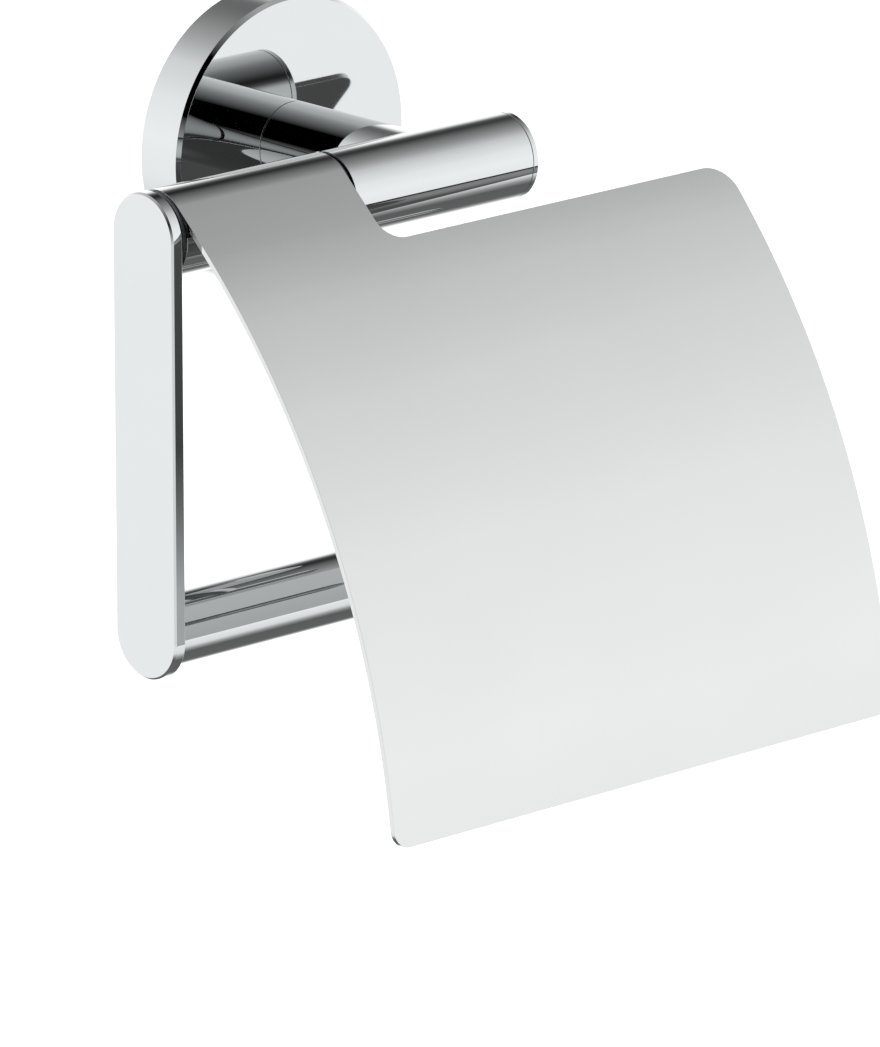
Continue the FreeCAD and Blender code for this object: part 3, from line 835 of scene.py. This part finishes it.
crestTree = threadTree(toothShares)
coarseThread = {
    "pitch": 1 * mm,
    "core": 2.46 * mm,
    "chamfer": 0.4 * mm,
}
grubThread = {
    "pitch": 0.7 * mm,
    "core": 1.57 * mm,
    "pointRadius": 0.3 * mm,
    "socketFlats": 2 * mm,
    "socketDepth": 1.5 * mm,
}


def windThread(piece, core, crest, pitch, length, material):
    # The crest's middle line starts and stops a pitch inside the threaded length.
    wind = piece.modifiers.new("thread", "NODES")
    wind.node_group = crestTree
    setInputs(wind, {
        "Core": core,
        "Crest": crest,
        "Pitch": pitch,
        "Start": pitch,
        "Length": length - pitch * 2,
        "Finish": material,
    })
    applyModifiers(piece)


def layAlong(piece, axis, start):
    # Turns a piece that stands along Z to its axis, and moves it to its place, in its mesh.
    turn = upright.rotation_difference(axis).to_matrix().to_4x4()
    piece.data.transform(Matrix.Translation(start) @ turn)


def makeStud(name, node, axis, start, length, crest):
    # A bar that is threaded all along, with a chamfer at both ends.
    core, chamfer = coarseThread["core"], coarseThread["chamfer"]
    stud = turnedPiece(name, [
        (0, 0),
        (0, core - chamfer),
        (chamfer, core),
        (length - chamfer, core),
        (length, core - chamfer),
        (length, 0),
    ], upright, Vector(), steps=64)
    windThread(stud, core, crest, coarseThread["pitch"], length, platedSteel)
    layAlong(stud, axis, start)
    return finishPiece(stud, platedSteel, "holder", "steel", node)


def makeGrubScrew(sizes):
    # Its socket faces down, out of the rosette's rim, and its point stands in the bracket's groove.
    start, length = runOf("rosette_grub_screw", upright)
    crest = placeOf("rosette_grub_screw")[1].x
    shoulder = length - (crest - sizes["pointRadius"])
    screw = turnedPiece("rosetteGrubScrew", [
        (0, 0),
        (0, sizes["core"]),
        (shoulder, sizes["core"]),
        (length, sizes["pointRadius"]),
        (length, 0),
    ], upright, Vector(), steps=64)
    cutWith(screw, rod(sizes["socketFlats"] / math.sqrt(3), upright, upright * -overshoot,
                       sizes["socketDepth"] + overshoot, steps=6))
    windThread(screw, sizes["core"], crest, sizes["pitch"], shoulder, platedSteel)
    layAlong(screw, upright, start)
    return finishPiece(screw, platedSteel, "holder", "steel", "rosette_grub_screw")


low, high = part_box("post_stud")
makeStud("postStud", "post_stud", outFromWall, Vector((0, high.y, 0)), high.y - low.y, high.x)
start, length = runOf("roll_bar_stud", alongX)
makeStud("rollBarStud", "roll_bar_stud", alongX, start, length, placeOf("roll_bar_stud")[1].z)
makeGrubScrew(grubThread)


fasteningSizes = {
    "nutBore": 3.02 * mm,
    "nutChamfer": 0.5 * mm,
    "nutFaceShare": 0.96,      # the round face of the nut against the distance across its flats
    "washerBore": 3.3 * mm,
    "dowelChamfer": 0.25 * mm,
    "insertBore": 3.02 * mm,
    "edge": 0.06 * mm,
}


def makeNut(sizes):
    # A hexagon with its corners turned off at both ends, and a tapped bore.
    start, thickness = runOf("post_nut", outFromWall)
    half = placeOf("post_nut")[1]
    corner, face = half.x, half.z * sizes["nutFaceShare"]
    chamfer = sizes["nutChamfer"]
    nut = turnedPiece("postNut", [(0, 0), (0, corner), (thickness, corner), (thickness, 0)],
                      outFromWall, start, steps=6)
    cutWith(nut, turnedPiece("tool", [
        (0, 0),
        (0, face),
        (chamfer, corner),
        (thickness - chamfer, corner),
        (thickness, face),
        (thickness, 0),
    ], outFromWall, start, steps=96), operation="INTERSECT")
    cutWith(nut, rod(sizes["nutBore"], outFromWall, start - outFromWall * overshoot,
                     thickness + overshoot * 2, steps=64))
    softenEdges(nut, sizes["edge"])
    return finishPiece(nut, platedSteel, "holder", "steel", "post_nut")


def makeWasher(sizes):
    # A flat ring, its edges rounded as stamping and plating leave them.
    # It is centred on the post's own axis, as the stud through it is.
    low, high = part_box("post_washer")
    start, thickness = Vector((0, high.y, 0)), high.y - low.y
    radius = high.x
    washer = turnedPiece("postWasher", [
        (0, sizes["washerBore"]),
        (0, radius),
        (thickness, radius),
        (thickness, sizes["washerBore"]),
    ], outFromWall, start, steps=96)
    softenEdges(washer, sizes["edge"] * 2)
    return finishPiece(washer, platedSteel, "holder", "steel", "post_washer")


def makeDowel(sizes):
    # A pin with a chamfer at both ends.
    start, length = runOf("post_dowel", outFromWall)
    radius = placeOf("post_dowel")[1].x
    chamfer = sizes["dowelChamfer"]
    dowel = turnedPiece("postDowel", [
        (0, 0),
        (0, radius - chamfer),
        (chamfer, radius),
        (length - chamfer, radius),
        (length, radius - chamfer),
        (length, 0),
    ], outFromWall, start, steps=64)
    softenEdges(dowel, sizes["edge"])
    return finishPiece(dowel, platedSteel, "holder", "steel", "post_dowel")


def makeInsert(sizes):
    # A brass bush inside the roll bar, bored for the stud.
    start, length = runOf("roll_bar_insert", alongX)
    radius = placeOf("roll_bar_insert")[1].z
    insert = turnedPiece("rollBarInsert", [
        (0, sizes["insertBore"]),
        (0, radius),
        (length, radius),
        (length, sizes["insertBore"]),
    ], alongX, start, steps=96)
    softenEdges(insert, sizes["edge"] * 2)
    return finishPiece(insert, turnedBrass, "holder", "brass", "roll_bar_insert")


makeNut(fasteningSizes)
makeWasher(fasteningSizes)
makeDowel(fasteningSizes)
makeInsert(fasteningSizes)


# lengths are in metres and angles in degrees: the sky gives brightness by height above the horizon
studio = {
    "floorDrop": 2.0,
    "floorSize": 16.0,
    "paper": "#f6f6f5",
    "paperRoughness": 0.9,
    "tentStrength": 1.70,
    "sky": [(-90, 0.24), (-74, 0.14), (-46, 0.12), (-41, 0.33), (-34, 0.82), (-20, 0.95), (0, 1.0),
            (20, 0.92), (35, 0.76), (46, 0.57), (52, 0.44), (90, 0.30)],
    "band": (16, 31),
    "darkCards": [
        {"azimuth": -36, "elevation": 30, "dark": 18, "clear": 56, "aboveBand": False},
        {"azimuth": 135, "elevation": 43, "dark": 7, "clear": 52, "aboveBand": True},
    ],
    "softboxes": [
        {"name": "overheadSoftbox", "place": (0.6, -0.6, 3.0), "side": 3.5, "power": 260.0},
        {"name": "frontSoftbox", "place": (1.8, -2.6, 1.6), "side": 2.0, "power": 60.0},
    ],
    "ceiling": {"strength": 2.0, "spread": 60},
}


def towards(azimuth, elevation):
    # The direction from the object towards a place at an azimuth and an elevation in degrees.
    a, e = math.radians(azimuth), math.radians(elevation)
    return Vector((math.sin(a) * math.cos(e), -math.cos(a) * math.cos(e), math.sin(e)))


def makeFloor():
    # A wide sheet of pale paper, well below the holder because the holder hangs on a wall.
    shape = bmesh.new()
    half = studio["floorSize"] / 2
    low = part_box("lid")[0].z - studio["floorDrop"]
    corners = ((-half, -half), (half, -half), (half, half), (-half, half))
    shape.faces.new([shape.verts.new((x, y, low)) for x, y in corners])
    floor = meshPiece("floor", shape)
    material = newMaterial("studioPaper", studio["paper"], 0.0, studio["paperRoughness"])[0]
    floor.data.materials.append(material)
    floor.visible_glossy = False     # the chrome mirrors the room's light and not the paper


def makeLight():
    # A soft white tent, bright round the horizon and darker above and below, with dark cards.
    world = bpy.data.worlds.new("tent")
    bpy.context.scene.world = world
    world.use_nodes = True
    tree = world.node_tree
    tree.nodes.clear()
    direction = addNode(tree, "ShaderNodeTexCoord").outputs["Generated"]
    height = addNode(tree, "ShaderNodeSeparateXYZ", {0: direction}).outputs["Z"]
    share = addNode(tree, "ShaderNodeMapRange",
                    {"Value": height, "From Min": -1.0, "From Max": 1.0}).outputs[0]
    ramp = addNode(tree, "ShaderNodeValToRGB", {"Fac": share})
    stops = ramp.color_ramp.elements
    for number, (elevation, level) in enumerate(studio["sky"]):
        position = (math.sin(math.radians(elevation)) + 1) / 2
        stop = stops[number] if number < 2 else stops.new(position)
        stop.position = position
        stop.color = (level, level, level, 1)
    light = ramp.outputs["Color"]
    # the second card hangs above the bright band, so it fades out below the band's upper edge
    bandLow, bandHigh = [math.sin(math.radians(edge)) for edge in studio["band"]]
    above = addNode(tree, "ShaderNodeMapRange", {"Value": height, "From Min": bandLow, "From Max": bandHigh},
                    interpolation_type="SMOOTHSTEP").outputs[0]
    for card in studio["darkCards"]:
        near = addNode(tree, "ShaderNodeVectorMath",
                       {0: direction, 1: towards(card["azimuth"], card["elevation"])},
                       operation="DOT_PRODUCT").outputs[1]
        away = addNode(tree, "ShaderNodeMath", {0: near}, operation="ARCCOSINE").outputs[0]
        shade = addNode(tree, "ShaderNodeMapRange",
                        {"Value": away, "From Min": math.radians(card["dark"]),
                         "From Max": math.radians(card["clear"]), "To Min": 1.0, "To Max": 0.0}).outputs[0]
        if card["aboveBand"]:
            shade = addNode(tree, "ShaderNodeMath", {0: shade, 1: above}, operation="MULTIPLY").outputs[0]
        left = addNode(tree, "ShaderNodeMath", {0: 1.0, 1: shade}, operation="SUBTRACT").outputs[0]
        light = addNode(tree, "ShaderNodeVectorMath", {0: light, 1: left}, operation="MULTIPLY").outputs[0]
    seen = addNode(tree, "ShaderNodeLightPath").outputs["Is Camera Ray"]
    tent = addNode(tree, "ShaderNodeBackground",
                   {"Color": light, "Strength": studio["tentStrength"]}).outputs[0]
    plain = addNode(tree, "ShaderNodeBackground", {"Color": (1, 1, 1, 1), "Strength": 1.0}).outputs[0]
    both = addNode(tree, "ShaderNodeMixShader", {0: seen, 1: tent, 2: plain}).outputs[0]
    addNode(tree, "ShaderNodeOutputWorld", {"Surface": both})
    bpy.context.scene.view_settings.view_transform = "Standard"


def makeSoftboxes():
    # Large square lamps that light the paper and the dull pieces. The chrome mirrors only the tent.
    for softbox in studio["softboxes"]:
        lamp = bpy.data.lights.new(softbox["name"], "AREA")
        lamp.size = softbox["side"]
        lamp.energy = softbox["power"]
        box = newObject(softbox["name"], lamp)
        turn = (-Vector(softbox["place"])).to_track_quat("-Z", "Y").to_matrix().to_4x4()
        box.matrix_world = Matrix.Translation(softbox["place"]) @ turn
        box.visible_glossy = False
    # a white ceiling far above, which lights the paper evenly out to its edges
    light = bpy.data.lights.new("ceiling", "SUN")
    light.energy = studio["ceiling"]["strength"]
    light.angle = math.radians(studio["ceiling"]["spread"])
    newObject("ceiling", light).visible_glossy = False


# the camera's place is in metres from the rosette's back, its lens in millimetres on 36 mm of film
cameraSizes = {
    "place": Vector((-1240.5, -1397.6, 464.6)) * mm,
    "azimuth": -42.616,
    "elevation": 16.069,
    "roll": -0.055,
    "lens": 364.5,
}


def makeCamera(sizes):
    # Looks along a line given by its azimuth and elevation, and is turned about it by its roll.
    back = towards(sizes["azimuth"], sizes["elevation"])
    turn = (-back).to_track_quat("-Z", "Y").to_matrix() @ Matrix.Rotation(math.radians(sizes["roll"]), 3, "Z")
    data = bpy.data.cameras.new("camera")
    data.lens = sizes["lens"]
    data.clip_start = 0.05
    data.clip_end = 50
    camera = newObject("camera", data)
    camera.matrix_world = Matrix.Translation(sizes["place"]) @ turn.to_4x4()
    bpy.context.scene.camera = camera


makeFloor()
makeLight()
makeSoftboxes()
makeCamera(cameraSizes)
print("studio made")
